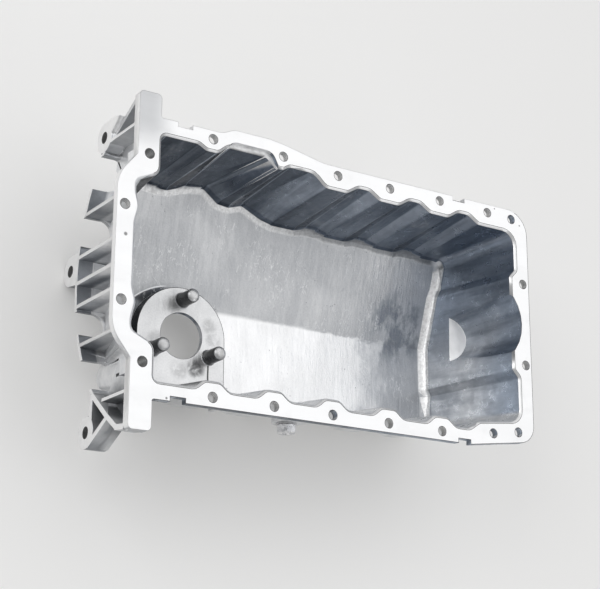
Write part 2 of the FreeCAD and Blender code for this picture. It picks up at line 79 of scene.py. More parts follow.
def node_in(tree, kind, **values):
    """A shader node, with its properties or its input sockets set by name."""
    node = tree.nodes.new(kind)
    for name, value in values.items():
        if hasattr(node, name):
            setattr(node, name, value)
        else:
            node.inputs[name.replace("_", " ")].default_value = value
    return node


def wire(tree, start, end):
    tree.links.new(start, end)


def effect(name, inputs, outputs):
    """An empty node group with named float, colour or vector sockets. Each entry is (name, kind, value)."""
    group = bpy.data.node_groups.new(name, "ShaderNodeTree")
    kinds = {"float": "NodeSocketFloat", "color": "NodeSocketColor", "vector": "NodeSocketVector"}
    for label, kind, value in inputs:
        socket = group.interface.new_socket(label, in_out="INPUT", socket_type=kinds[kind])
        if value is not None:
            socket.default_value = value
    for label, kind in outputs:
        group.interface.new_socket(label, in_out="OUTPUT", socket_type=kinds[kind])
    return group, group.nodes.new("NodeGroupInput").outputs, group.nodes.new("NodeGroupOutput").inputs


def math(tree, operation, first, second=None, clamp=False):
    """The output of a Math node on sockets or numbers."""
    node = tree.nodes.new("ShaderNodeMath")
    node.operation = operation
    node.use_clamp = clamp
    for socket, value in zip(node.inputs, (first, second)):
        if value is None:
            continue
        if isinstance(value, (int, float)):
            socket.default_value = value
        else:
            wire(tree, value, socket)
    return node.outputs[0]


def times(tree, first, second):
    return math(tree, "MULTIPLY", first, second)


def plus(tree, first, second, clamp=False):
    return math(tree, "ADD", first, second, clamp)


def minus(tree, first, second):
    return math(tree, "SUBTRACT", first, second)


def most(tree, first, second):
    return math(tree, "MAXIMUM", first, second)


def ramp(tree, value, low, high, to_low=0.0, to_high=1.0):
    """A smooth step of a socket from low to high."""
    node = tree.nodes.new("ShaderNodeMapRange")
    node.interpolation_type = "SMOOTHSTEP"
    wire(tree, value, node.inputs["Value"])
    for name, number in (("From Min", low), ("From Max", high), ("To Min", to_low), ("To Max", to_high)):
        if isinstance(number, (int, float)):
            node.inputs[name].default_value = number
        else:
            wire(tree, number, node.inputs[name])
    return node.outputs["Result"]


def blend(tree, share, first, second, kind="RGBA", way="MIX"):
    """A Mix node: first where share is 0, second where it is 1."""
    node = tree.nodes.new("ShaderNodeMix")
    node.data_type = kind
    if kind == "RGBA":
        node.blend_type = way
    word = {"RGBA": "Color", "FLOAT": "Float"}[kind]
    ends = [next(s for s in node.inputs if s.identifier == f"{letter}_{word}") for letter in "AB"]
    for socket, value in zip([node.inputs[0]] + ends, (share, first, second)):
        if isinstance(value, (int, float, tuple)):
            socket.default_value = value
        else:
            wire(tree, value, socket)
    return next(s for s in node.outputs if s.identifier == f"Result_{word}")


def noise(tree, vector, scale, detail=3.0, rough=0.5, warp=0.0):
    """Fac of a Noise Texture."""
    node = node_in(tree, "ShaderNodeTexNoise", Detail=detail, Roughness=rough, Distortion=warp)
    if isinstance(scale, (int, float)):
        node.inputs["Scale"].default_value = scale
    else:
        wire(tree, scale, node.inputs["Scale"])
    wire(tree, vector, node.inputs["Vector"])
    return node.outputs["Fac"]


def stretched(tree, vector, scale, turn=(0, 0, 0)):
    """Coordinates scaled along each axis, which draws a noise out into streaks."""
    node = node_in(tree, "ShaderNodeMapping", Scale=scale, Rotation=turn)
    wire(tree, vector, node.inputs["Vector"])
    return node.outputs["Vector"]


def axes(tree, vector):
    """The x, y and z of a vector socket."""
    node = tree.nodes.new("ShaderNodeSeparateXYZ")
    wire(tree, vector, node.inputs[0])
    return node.outputs["X"], node.outputs["Y"], node.outputs["Z"]


def band(tree, value, rise, full, fade, gone):
    """1 between full and fade, 0 below rise and above gone, with smooth steps."""
    return times(tree, ramp(tree, value, rise, full), ramp(tree, value, fade, gone, 1.0, 0.0))


def distance(tree, where, place):
    """How far the surface is from a point of the piece."""
    gap = tree.nodes.new("ShaderNodeVectorMath")
    gap.operation = "DISTANCE"
    wire(tree, where, gap.inputs[0])
    gap.inputs[1].default_value = place
    return gap.outputs["Value"]


def spot(tree, where, place, radius):
    """1 at a point of the piece, falling to 0 at a radius from it."""
    return ramp(tree, distance(tree, where, place), radius * 0.4, radius, 1.0, 0.0)


def bolt_places():
    """Rail bolt centres, in metres, from the record's inline and two-hole patterns."""
    places = []
    for mount in frame["record"]["mounts"]:
        if mount["kind"] != "bolt_pattern" or abs(mount["pos_m"][2] - RAIL_Z) > 0.001:
            continue
        x, y, _ = mount["pos_m"]
        for name, step in (("spacing_x_mm", (1, 0)), ("spacing_y_mm", (0, 1))):
            half = mount["dims"].get(name, 0) / 2000
            if half:
                places += [(x + step[0] * half, y + step[1] * half), (x - step[0] * half, y - step[1] * half)]
    return places


BOLT_PLACES = bolt_places()


def screw_places():
    """Middles of the three screw bosses and the height of their seat, from the record and its source."""
    screws = next(m for m in frame["record"]["mounts"] if m["name"] == "level_sensor_screws")
    hole = next(m for m in frame["record"]["mounts"] if m["name"] == "level_sensor_hole")
    x, y, _ = screws["pos_m"]
    reach = screws["dims"]["pcd_mm"] / 2000
    turns = np.radians([90.0, -30.0, 210.0])
    seat = hole["pos_m"][2] + hole["dims"]["length_mm"] / 2000
    return [(x + reach * np.cos(turn), y + reach * np.sin(turn)) for turn in turns], seat


SCREW_PLACES, SEAT_Z = screw_places()
SENSOR_MIDDLE = Vector(np.mean(SCREW_PLACES, axis=0))


def cast_skin_effect():
    """Sand cast skin: fine grain, shallow dimples, grey blotches and pale flecks."""
    group, given, made = effect(
        "cast skin",
        [("Vector", "vector", None), ("Light", "color", None), ("Dark", "color", None),
         ("Grain", "float", 1.0), ("Blotch", "float", 1.0), ("Fleck", "float", 0.3), ("Streak", "float", 0.0),
         ("Matt", "float", 0.4)],
        [("Color", "color"), ("Roughness", "float"), ("Height", "float")])
    where = given["Vector"]
    fine = noise(group, where, 900.0, 2.0, 0.6)
    coarse = noise(group, where, 260.0, 3.0, 0.55)
    dimple = noise(group, where, 70.0, 2.0, 0.5)
    height = plus(group, times(group, fine, 0.35), times(group, coarse, 0.65))
    height = plus(group, height, times(group, dimple, 0.8))
    wire(group, times(group, height, given["Grain"]), made["Height"])
    broad = ramp(group, noise(group, where, 22.0, 4.0, 0.6, 0.6), 0.34, 0.66)
    small = ramp(group, noise(group, where, 95.0, 4.0, 0.65), 0.35, 0.65)
    drawn = ramp(group, noise(group, stretched(group, where, (75.0, 75.0, 7.0)), 1.0, 3.0, 0.6), 0.4, 0.68)
    mixed = plus(group, times(group, broad, 0.55), times(group, small, 0.45))
    mixed = times(group, mixed, given["Blotch"])
    mixed = plus(group, mixed, times(group, drawn, given["Streak"]), clamp=True)
    shade = blend(group, mixed, given["Light"], given["Dark"])
    fleck = ramp(group, noise(group, where, 420.0, 2.0, 0.7), 0.62, 0.74)
    fleck = times(group, fleck, given["Fleck"])
    wire(group, blend(group, fleck, shade, (0.82, 0.83, 0.85, 1.0)), made["Color"])
    rough = plus(group, times(group, small, 0.16), given["Matt"])
    wire(group, rough, made["Roughness"])
    return group


def milled_effect():
    """Face milled metal: long fine lay lines, faint cutter bands and small stains."""
    group, given, made = effect(
        "milled face",
        [("Vector", "vector", None), ("Light", "color", None), ("Dark", "color", None),
         ("Stain", "float", 0.3)],
        [("Color", "color"), ("Roughness", "float"), ("Height", "float")])
    where = given["Vector"]
    lay = noise(group, stretched(group, where, (40.0, 1400.0, 1400.0)), 1.0, 2.0, 0.5)
    cutter = noise(group, stretched(group, where, (9.0, 60.0, 60.0), (0.0, 0.0, 0.4)), 1.0, 2.0, 0.5)
    stain = ramp(group, noise(group, where, 55.0, 4.0, 0.65, 0.4), 0.5, 0.72)
    cutter = times(group, ramp(group, cutter, 0.35, 0.7), 0.25)
    share = plus(group, cutter, times(group, stain, given["Stain"]))
    wire(group, blend(group, share, given["Light"], given["Dark"]), made["Color"])
    wire(group, plus(group, times(group, lay, 0.12), 0.30), made["Roughness"])
    wire(group, lay, made["Height"])
    return group


def sump_floor_effect():
    """Blasted sump floor: marks brushed across the pan, bright hair scratches and small dark pits."""
    group, given, made = effect(
        "sump floor",
        [("Vector", "vector", None), ("Light", "color", None), ("Dark", "color", None),
         ("Brush", "float", 0.5), ("Scratch", "float", 0.5), ("Pit", "float", 0.5), ("Matt", "float", 0.34)],
        [("Color", "color"), ("Roughness", "float"), ("Height", "float")])
    where = given["Vector"]
    cloud = ramp(group, noise(group, where, 13.0, 4.0, 0.55, 0.5), 0.33, 0.67)
    brush = noise(group, stretched(group, where, (190.0, 26.0, 60.0)), 1.0, 5.0, 0.68)
    brush = ramp(group, brush, 0.36, 0.66)
    grain = noise(group, where, 620.0, 2.0, 0.6)
    share = plus(group, times(group, cloud, 0.45), times(group, brush, given["Brush"]))
    share = plus(group, share, times(group, ramp(group, grain, 0.3, 0.7), 0.22), clamp=True)
    shade = blend(group, share, given["Light"], given["Dark"])
    line = noise(group, stretched(group, where, (150.0, 46.0, 60.0), (0.0, 0.0, 0.3)), 1.0, 3.0, 0.6, 0.2)
    line = math(group, "ABSOLUTE", minus(group, line, 0.5))
    line = ramp(group, line, 0.004, 0.022, 1.0, 0.0)
    patch = ramp(group, noise(group, where, 30.0, 2.0, 0.5), 0.46, 0.60)
    line = times(group, times(group, line, patch), given["Scratch"])
    shade = blend(group, line, shade, (0.98, 0.98, 0.98, 1.0))
    dots = node_in(group, "ShaderNodeTexVoronoi", Scale=230.0, Randomness=1.0)
    wire(group, where, dots.inputs["Vector"])
    dot = ramp(group, dots.outputs["Distance"], 0.08, 0.17, 1.0, 0.0)
    dot = times(group, dot, ramp(group, noise(group, where, 85.0, 3.0, 0.6), 0.55, 0.66))
    dot = times(group, dot, given["Pit"])
    wire(group, blend(group, dot, shade, (0.16, 0.17, 0.19, 1.0)), made["Color"])
    wire(group, plus(group, times(group, share, 0.16), given["Matt"]), made["Roughness"])
    height = plus(group, times(group, brush, 0.5), times(group, grain, 0.5))
    height = plus(group, height, times(group, line, 0.8))
    wire(group, minus(group, height, dot), made["Height"])
    return group


CAST_SKIN = cast_skin_effect()
MILLED = milled_effect()
SUMP_FLOOR = sump_floor_effect()


def new_material(name, metallic):
    """An empty material with its tree, its shader and the Object coordinates."""
    material = bpy.data.materials.new(name)
    material.use_nodes = True
    tree = material.node_tree
    shader = tree.nodes["Principled BSDF"]
    shader.inputs["Metallic"].default_value = metallic
    return material, tree, shader, tree.nodes.new("ShaderNodeTexCoord").outputs


def placed(tree, group, where, values):
    """The outputs of an effect group in a material, with its own values."""
    node = tree.nodes.new("ShaderNodeGroup")
    node.node_tree = group
    wire(tree, where, node.inputs["Vector"])
    for label, value in values.items():
        if isinstance(value, (int, float, tuple)):
            node.inputs[label].default_value = value
        else:
            wire(tree, value, node.inputs[label])
    return node.outputs


def finish_shader(tree, shader, color, roughness, height, bump, depth=0.001):
    """Colour, roughness and a bump from a height go into the shader."""
    wire(tree, color, shader.inputs["Base Color"])
    wire(tree, roughness, shader.inputs["Roughness"])
    relief = node_in(tree, "ShaderNodeBump", Strength=bump, Distance=depth)
    wire(tree, height, relief.inputs["Height"])
    wire(tree, relief.outputs["Normal"], shader.inputs["Normal"])


def one_skin(name, group, values, metallic, bump):
    """A material of one effect group."""
    material, tree, shader, where = new_material(name, metallic)
    skin = placed(tree, group, where["Object"], values)
    finish_shader(tree, shader, skin["Color"], skin["Roughness"], skin["Height"], bump)
    return material


def grey(level, blue=0.0):
    """A neutral linear colour, a little blue."""
    return (level, level * (1 + 0.4 * blue), level * (1 + blue), 1.0)


def tint(tree, color, share, level, blue=0.0):
    """A colour multiplied by a grey where share is 1."""
    return blend(tree, share, color, grey(level, blue), way="MULTIPLY")


# Marks of the casting: a point, and how far the mark reaches from it, in metres.
# The knob's mark is a painted highlight and the near pocket's is painted shade; the others are darker or paler
# patches, knocks and pits
FLOOR_PATCH = ((0.148, 0.020, 0.025), 0.048)
KNOB_HIGHLIGHT = ((0.1815, 0.0890, 0.0470), 0.0075)
POCKET_SHADE = ((-0.186, -0.118, 0.090), 0.034)
DARK_PATCH = ((-0.0870, -0.0570, 0.034), 0.012)
SOFT_DARK_PATCHES = [((-0.108, 0.003, 0.034), 0.015), ((-0.074, -0.016, 0.034), 0.010),
                ((-0.070, -0.028, 0.034), 0.010), ((-0.128, -0.036, 0.034), 0.012),
                ((-0.104, -0.060, 0.034), 0.012)]
WALL_PALE_PATCHES = [((0.112, 0.097, 0.110), 0.012), ((0.128, 0.096, 0.094), 0.009), ((0.020, 0.101, 0.118), 0.010),
             ((-0.004, 0.104, 0.110), 0.008)]
RAIL_MARKS = [((-0.2137, 0.0173, 0.138), 0.0022), ((0.1824, 0.1197, 0.138), 0.0011),
              ((0.2136, 0.1082, 0.138), 0.0012), ((-0.2059, 0.1270, 0.138), 0.0012),
              ((-0.1713, -0.1150, 0.138), 0.0014)]

# The recess that the sensor seat stands in shows as a gap on the seat's left, painted as shade with a painted
# highlight on its lip
RECESS_MIDDLE = (-0.1055, -0.0409, 0.0215)
RECESS_RADIUS = 0.0598

# Fine lines: a painted shade line along the step on the seat, a painted highlight on the crease of the gearbox
# lip and dark rings in drilled holes, painted as the shade in thread grooves
SEAT_STEP_X = -0.0745
LIP_CREASE_X = -0.19055
THREAD_SHADE_PITCH = 0.0012


def floor_finish(tree, where, x, y):
    """Deep half near white and raised half grey, crisp at the crease on the left. This is painted light:
    the deep half is painted with the bright overhead reflection that the raised half lacks.

    Both turn darker and bluer to the right. The gap round the left of the sensor seat is painted dark as shade,
    with a painted highlight on its pale lip.
    """
    waver = minus(tree, noise(tree, where, 40.0, 4.0, 0.6), 0.5)
    spread = times(tree, waver, ramp(tree, x, 0.02, 0.13, 0.003, 0.05))
    raised = ramp(tree, plus(tree, y, spread), 0.0015, 0.0050)
    mottle = noise(tree, stretched(tree, where, (60.0, 34.0, 40.0)), 1.0, 4.0, 0.62)
    drift = plus(tree, x, times(tree, minus(tree, mottle, 0.5), 0.10))
    drift = minus(tree, drift, times(tree, most(tree, y, 0.0), 0.35))
    right = ramp(tree, drift, 0.088, 0.148)
    # painted light: the deep half near white as the overhead light it reflects, the raised half grey
    low = blend(tree, right, grey(0.95), grey(0.62, 0.04))
    high = blend(tree, right, grey(0.64, 0.015), grey(0.66, 0.06))
    light = blend(tree, raised, low, high)
    patch = times(tree, spot(tree, where, *FLOOR_PATCH), ramp(tree, mottle, 0.40, 0.58))
    light = tint(tree, light, patch, 0.52, 0.12)
    deep = blend(tree, raised, grey(0.90), grey(0.70, 0.05))
    deep = blend(tree, right, deep, grey(0.70, 0.06))
    dark = blend(tree, 1.0, light, deep, way="MULTIPLY")
    away = distance(tree, where, RECESS_MIDDLE)
    left = ramp(tree, x, -0.112, -0.122)
    # painted shade in the recess gap round the left of the seat
    gap = times(tree, ramp(tree, away, RECESS_RADIUS - 0.0010, RECESS_RADIUS - 0.0001, 1.0, 0.0), left)
    # painted highlight: a thin pale arc along the recess's lip
    lip = band(tree, away, *(RECESS_RADIUS + beyond for beyond in (-0.0005, 0.0, 0.0006, 0.0013)))
    lip = times(tree, lip, left)
    light, dark = [blend(tree, lip, tint(tree, tone, gap, 0.25, 0.1), grey(0.98)) for tone in (light, dark)]
    return placed(tree, SUMP_FLOOR, where, {
        "Light": light, "Dark": dark, "Brush": 0.20, "Scratch": 0.42, "Pit": 0.6, "Matt": 0.33})


def wall_finish(tree, where, x, y, z, nx, ny):
    """Drawn cast walls: dark on the far side with paler flanks at the bolts, pale at the end and near side.

    These tones are painted: shade on the far side, light on the flanks, reflection at the end and near side.
    """
    rear = times(tree, nx, -1.0)
    # painted light: flanks that turn towards the left light are painted paler
    painted_lit_flank = band(tree, rear, 0.14, 0.40, 0.60, 0.72)
    end = ramp(tree, rear, 0.60, 0.80)
    # painted reflection: near side faces that look towards the far side are painted near white
    near = times(tree, ramp(tree, ny, 0.05, 0.35), ramp(tree, y, -0.02, -0.05))
    # painted shadow on the seat's side that looks back at the gearbox end, near black
    painted_seat_side_shadow = times(tree, ramp(tree, rear, 0.3, 0.6), ramp(tree, x, -0.08, -0.11))
    # painted shade: far side faces that turn away from the left light, near black
    painted_flank_shade = times(tree, ramp(tree, nx, 0.34, 0.50), ramp(tree, y, 0.00, 0.05))
    # painted highlight: a paler streak beside each dark line
    painted_streak_highlight = band(tree, nx, 0.05, 0.12, 0.18, 0.30)
    # painted shade on the end wall to the far side and at the top; its low near part is painted pale as a
    # reflection
    painted_end_wall_shade = most(tree, ramp(tree, y, -0.03, 0.05), ramp(tree, z, 0.07, 0.13))
    end_color = blend(tree, painted_end_wall_shade, grey(0.72, 0.06), grey(0.46, 0.34))
    # painted shade: the far wall's dark slate, darkest at the left
    far_color = blend(tree, ramp(tree, x, -0.06, 0.08), grey(0.145, 0.40), grey(0.31, 0.38))
    light = blend(tree, painted_lit_flank, far_color, grey(0.51, 0.24))
    light = blend(tree, painted_streak_highlight, light, grey(0.45, 0.24))
    light = blend(tree, end, light, end_color)
    light = blend(tree, near, light, grey(0.95))
    light = blend(tree, most(tree, painted_flank_shade, painted_seat_side_shadow), light, grey(0.04, 0.2))
    dark = tint(tree, light, 1.0, 0.50, 0.10)
    scuff = noise(tree, stretched(tree, where, (45.0, 45.0, 16.0)), 1.0, 3.0, 0.55, 0.6)
    light = blend(tree, times(tree, ramp(tree, scuff, 0.60, 0.70), 0.30), light, grey(0.70, 0.12))
    broken = ramp(tree, noise(tree, where, 120.0, 3.0, 0.6), 0.3, 0.6)
    # paler patches at listed places on the walls
    for place, radius in WALL_PALE_PATCHES:
        pale_patch = times(tree, spot(tree, where, place, radius), broken)
        light = blend(tree, times(tree, pale_patch, 0.7), light, grey(0.62, 0.10))
    return placed(tree, CAST_SKIN, where, {
        "Light": light, "Dark": dark, "Blotch": 0.45, "Streak": 0.65, "Fleck": 0.10, "Matt": 0.26})


def sump_inside():
    """The cast inside. The way a face looks tells wall from floor.

    Between them the foot runs from a painted shade line to a pale band painted as the highlight in the fillet.
    """
    material, tree, shader, outputs = new_material("cast sump inside", 0.9)
    where = outputs["Object"]
    x, y, z = axes(tree, where)
    nx, ny, nz = axes(tree, outputs["Normal"])
    floor = floor_finish(tree, where, x, y)
    wall = wall_finish(tree, where, x, y, z, nx, ny)
    upward = ramp(tree, nz, 0.45, 0.70)
    color = blend(tree, upward, wall["Color"], floor["Color"])
    ending = times(tree, ramp(tree, times(tree, nx, -1.0), 0.22, 0.38), ramp(tree, x, 0.13, 0.16))
    # painted shade: a dark line along the foot, where the wall turns into the fillet
    painted_side_shade_line = band(tree, nz, 0.17, 0.26, 0.42, 0.56)
    painted_end_shade_line = band(tree, nz, 0.20, 0.24, 0.27, 0.34)
    color = tint(tree, color, blend(tree, ending, painted_side_shade_line, painted_end_shade_line, "FLOAT"), 0.58, 0.1)
    foot_starts = blend(tree, ending, 0.48, 0.24, "FLOAT")
    foot_full = blend(tree, ending, 0.64, 0.34, "FLOAT")
    # painted highlight: a pale band in the fillet at the foot, near white where it faces the near side
    foot = band(tree, nz, foot_starts, foot_full, 0.92, 0.962)
    speck = ramp(tree, noise(tree, where, 330.0, 3.0, 0.7), 0.38, 0.62)
    painted_side_foot_highlight = blend(tree, ramp(tree, x, -0.05, 0.05), grey(0.84), grey(0.36, 0.05))
    pale = blend(tree, ramp(tree, times(tree, ny, -1.0), 0.25, 0.45), grey(1.0), painted_side_foot_highlight)
    pale = tint(tree, pale, speck, 0.80)
    # painted highlight on a knob of the foot's bead, which the mesh doesn't have
    pale = blend(tree, spot(tree, where, *KNOB_HIGHLIGHT), pale, grey(0.98))
    color = blend(tree, foot, color, pale)
    rough = blend(tree, upward, wall["Roughness"], floor["Roughness"], "FLOAT")
    near_side = times(tree, ramp(tree, ny, 0.05, 0.35), minus(tree, 1.0, upward))
    near_side = times(tree, near_side, ramp(tree, y, -0.02, -0.05))
    wire(tree, minus(tree, 0.9, times(tree, near_side, 0.6)), shader.inputs["Metallic"])
    height = blend(tree, upward, wall["Height"], floor["Height"], "FLOAT")
    finish_shader(tree, shader, color, rough, height, 0.3)
    return material


def rail_finish():
    """Milled rail with its knocks and pits; painted shade makes it greyer over the far corner block."""
    material, tree, shader, outputs = new_material("machined rail", 0.8)
    where = outputs["Object"]
    x, y, _ = axes(tree, where)
    skin = placed(tree, MILLED, where, {"Light": grey(0.88), "Dark": grey(0.74), "Stain": 0.25})
    hurt = spot(tree, where, *RAIL_MARKS[0])
    for place, radius in RAIL_MARKS[1:]:
        hurt = most(tree, hurt, spot(tree, where, place, radius))
    # painted shade over the far corner block
    corner = times(tree, ramp(tree, x, -0.165, -0.195), ramp(tree, y, 0.085, 0.125))
    color = tint(tree, skin["Color"], corner, 0.64, 0.02)
    color = tint(tree, color, hurt, 0.30)
    height = minus(tree, skin["Height"], times(tree, hurt, 3.0))
    finish_shader(tree, shader, color, skin["Roughness"], height, 0.08)
    return material


def bore_finish(name, axis, light):
    """Drilled holes: dark rings run round the bore at an even pitch along its axis.

    The rings are painted shade, as in the grooves of a thread.
    """
    material, tree, shader, outputs = new_material(name, 0.7)
    where = outputs["Object"]
    along = axes(tree, where)[axis]
    skin = placed(tree, MILLED, where, {"Light": grey(light), "Dark": grey(light * 0.64), "Stain": 0.5})
    # painted shade: dark rings for the grooves of a thread
    turns = math(tree, "FRACT", math(tree, "DIVIDE", along, THREAD_SHADE_PITCH))
    mark = math(tree, "ABSOLUTE", minus(tree, turns, 0.5))
    mark = ramp(tree, mark, 0.06, 0.22, 1.0, 0.0)
    color = tint(tree, skin["Color"], mark, 0.22, 0.03)
    finish_shader(tree, shader, color, skin["Roughness"], minus(tree, 1.0, mark), 0.3, 0.0003)
    return material


def boss_finish():
    """Screw bosses: sides painted dark as shade, domes painted pale as lit, with a cast skin over both."""
    material, tree, shader, outputs = new_material("screw bosses", 0.85)
    nz = axes(tree, outputs["Normal"])[2]
    # painted light and shade: faces that look up are painted pale, the sides dark
    dome = ramp(tree, nz, 0.30, 0.70)
    light = blend(tree, dome, grey(0.12, 0.05), grey(0.72))
    dark = tint(tree, light, 1.0, 0.50)
    skin = placed(tree, CAST_SKIN, outputs["Object"], {
        "Light": light, "Dark": dark, "Blotch": 0.7, "Streak": 0.4, "Fleck": 0.1, "Matt": 0.26})
    finish_shader(tree, shader, skin["Color"], skin["Roughness"], skin["Height"], 0.25)
    return material


def seat_finish():
    """Sensor seat: cast face with soft dark patches round the bosses, one darker patch and a fine step.

    The step is drawn as a painted shade line and a shallow groove in the bump.
    """
    material, tree, shader, outputs = new_material("sensor seat", 0.9)
    where = outputs["Object"]
    x, y, _ = axes(tree, where)
    darkening = spot(tree, where, *DARK_PATCH)
    for place, radius in SOFT_DARK_PATCHES:
        darkening = most(tree, darkening, times(tree, spot(tree, where, place, radius), 0.40))
    cloudy = ramp(tree, noise(tree, where, 110.0, 4.0, 0.6, 0.6), 0.28, 0.62)
    # painted shade: a dark line along a fine step on the seat
    step = math(tree, "ABSOLUTE", minus(tree, x, SEAT_STEP_X))
    step = times(tree, ramp(tree, step, 0.0004, 0.0012, 1.0, 0.0), ramp(tree, y, -0.0500, -0.0530))
    skin = placed(tree, SUMP_FLOOR, where, {
        "Light": grey(0.76), "Dark": grey(0.54, 0.02), "Brush": 0.08, "Scratch": 0.16, "Pit": 0.3,
        "Matt": 0.34})
    color = tint(tree, skin["Color"], times(tree, darkening, cloudy), 0.26, 0.02)
    color = tint(tree, color, step, 0.10)
    finish_shader(tree, shader, color, skin["Roughness"], minus(tree, skin["Height"], step), 0.2)
    return material


def outside_finish():
    """Cast outside: pale, with painted shade in the near ear's pocket, on its side and along the gearbox lip.
    """
    material, tree, shader, outputs = new_material("cast outside", 0.72)
    where = outputs["Object"]
    x, _, z = axes(tree, where)
    _, ny, nz = axes(tree, outputs["Normal"])
    towards_near = times(tree, ny, -1.0)
    skin = placed(tree, CAST_SKIN, where, {
        "Light": grey(0.98, 0.01), "Dark": grey(0.70, 0.05), "Blotch": 0.8, "Fleck": 0.3, "Matt": 0.32})
    # painted shade on the ear's side that faces away from the light
    painted_ear_side_shade = times(tree, ramp(tree, towards_near, 0.5, 0.8), ramp(tree, x, -0.165, -0.18))
    color = tint(tree, skin["Color"], painted_ear_side_shade, 0.58, 0.03)
    # painted shade along the inside of the gearbox lip
    lip = times(tree, ramp(tree, x, -0.1885, -0.1925), ramp(tree, z, 0.085, 0.055))
    color = tint(tree, color, lip, 0.42, 0.10)
    # painted highlight: a near white line along the lip's crease
    crease = band(tree, x, *(LIP_CREASE_X + beyond for beyond in (-0.00095, -0.00035, 0.00035, 0.00095)))
    crease = times(tree, times(tree, crease, ramp(tree, nz, 0.85, 0.93)), ramp(tree, z, 0.070, 0.055))
    color = blend(tree, crease, color, grey(0.98))
    # painted shade in the near ear's pocket
    color = tint(tree, color, spot(tree, where, *POCKET_SHADE), 0.34, 0.05)
    rib_side = times(tree, ramp(tree, towards_near, 0.8, 0.95), ramp(tree, x, -0.165, -0.175))
    wire(tree, minus(tree, 0.72, times(tree, rib_side, 0.45)), shader.inputs["Metallic"])
    finish_shader(tree, shader, color, skin["Roughness"], skin["Height"], 0.35)
    return material


def cast_finish(name, light, dark, fleck, matt, metallic, bump):
    """A plain cast skin between two greys."""
    values = {"Light": grey(light), "Dark": grey(dark), "Fleck": fleck, "Matt": matt}
    return one_skin(name, CAST_SKIN, values, metallic, bump)


FINISHES = {
    "rail": rail_finish(),
    "gearbox": one_skin("machined gearbox face", MILLED,
                        {"Light": grey(0.98), "Dark": grey(0.84), "Stain": 0.3}, metallic=0.55, bump=0.06),
    "drilled": bore_finish("drilled rail holes", axis=2, light=0.86),
    # painted shade: the same drilled finish as the rail holes, painted dark for the shade inside the ear bores
    "ear bore": bore_finish("drilled ear holes", axis=0, light=0.20),
    "inside": sump_inside(),
    "ledge": cast_finish("cast ledge", 0.92, 0.55, fleck=0.2, matt=0.38, metallic=0.5, bump=0.25),
    "shelf": cast_finish("even pale shelf", 0.97, 0.90, fleck=0.2, matt=0.30, metallic=0.85, bump=0.1),
    "bosses": boss_finish(),
    # painted shade: thin dark lines along the rail's inner edge and holes and the seat's outside
    "outline": cast_finish("painted shade line", 0.16, 0.07, fleck=0.1, matt=0.4, metallic=0.6, bump=0.1),
    "seat": seat_finish(),
    "outside": outside_finish(),
}


def merged_copy(node, name):
    """A copy of a CAD node's mesh with its loose triangles joined, flat areas made one face each."""
    source = frame["nodes"][node]
    mesh = source.data.copy()
    mesh.materials.clear()
    work = bmesh.new()
    work.from_mesh(mesh)
    bmesh.ops.remove_doubles(work, verts=work.verts, dist=8e-5)
    bmesh.ops.dissolve_limit(work, angle_limit=np.radians(0.4), verts=work.verts, edges=work.edges,
                             use_dissolve_boundaries=False)
    work.to_mesh(mesh)
    work.free()
    piece = bpy.data.objects.new(name, mesh)
    bpy.context.scene.collection.objects.link(piece)
    return piece


def face_arrays(mesh):
    """Centres and normals of a mesh's faces as arrays of x, y and z."""
    centres = np.empty(len(mesh.polygons) * 3)
    normals = np.empty(len(mesh.polygons) * 3)
    mesh.polygons.foreach_get("center", centres)
    mesh.polygons.foreach_get("normal", normals)
    return centres.reshape(-1, 3), normals.reshape(-1, 3)


def sort_faces(piece):
    """Gives each face of the casting its finish.

    It depends on where the face lies, which way it looks and whether the sky is above it.
    """
    mesh = piece.data
    centres, normals = face_arrays(mesh)
    tree = BVHTree.FromPolygons([v.co for v in mesh.vertices], [p.vertices for p in mesh.polygons])
    open_above = np.array([
        tree.ray_cast(Vector(c + n * 2e-4), Vector((0, 0, 1)))[0] is None for c, n in zip(centres, normals)])
    names = list(FINISHES)
    for name in names:
        mesh.materials.append(FINISHES[name])
    choice = np.full(len(centres), names.index("outside"))

    def give(faces, name):
        choice[faces] = names.index(name)

    along, height, upward = centres[:, 0], centres[:, 2], normals[:, 2]
    inside = open_above & (along > GEARBOX_X + 0.014) & (height < RAIL_Z - 0.0002)
    inside &= np.abs(centres[:, 1]) < 0.12
    flat = inside & (upward > 0.9)
    give(inside, "inside")
    give(flat & (height > RAIL_Z - 0.006), "ledge")
    give(flat & (along > 0.15) & (height > SHELF_Z - 0.006) & (height < SHELF_Z + 0.014), "shelf")
    give(flat & (np.abs(height - SEAT_Z) < 0.0006) & (along < -0.05), "seat")
    for x, y in SCREW_PLACES:
        near = np.hypot(along - x, centres[:, 1] - y) < BOSS_REACH
        give(near & (height > SEAT_Z + 0.0004), "bosses")
    give((height > RAIL_Z - 0.0021) & (upward > 0.4) & inside & (upward < 0.9), "rail")
    give((height > RAIL_Z - 0.0002) & (upward > 0.9), "rail")
    give((along < GEARBOX_X + 0.0002) & (normals[:, 0] < -0.9), "gearbox")
    for x, y in BOLT_PLACES:
        near = np.hypot(along - x, centres[:, 1] - y) < HOLE_REACH
        give(near & (np.abs(upward) < 0.2) & (height > RAIL_Z - 0.03), "drilled")
    for bore in [mount for mount in frame["record"]["mounts"] if mount["name"].endswith("ear_bore")]:
        away = centres - np.array(bore["pos_m"])
        near = np.hypot(away[:, 1], away[:, 2]) < bore["dims"]["r_mm"] / 1000 + 0.0003
        give(near & (np.abs(normals[:, 0]) < 0.3) & (np.abs(away[:, 0]) < 0.012), "ear bore")
    mesh.polygons.foreach_set("material_index", choice.astype(np.int32))
    mesh.polygons.foreach_set("use_smooth", np.ones(len(choice), dtype=bool))
    mesh.update()
    keep_floor_creases(mesh)
    draw_outlines(mesh, names)
    mark_soft_edges(mesh)


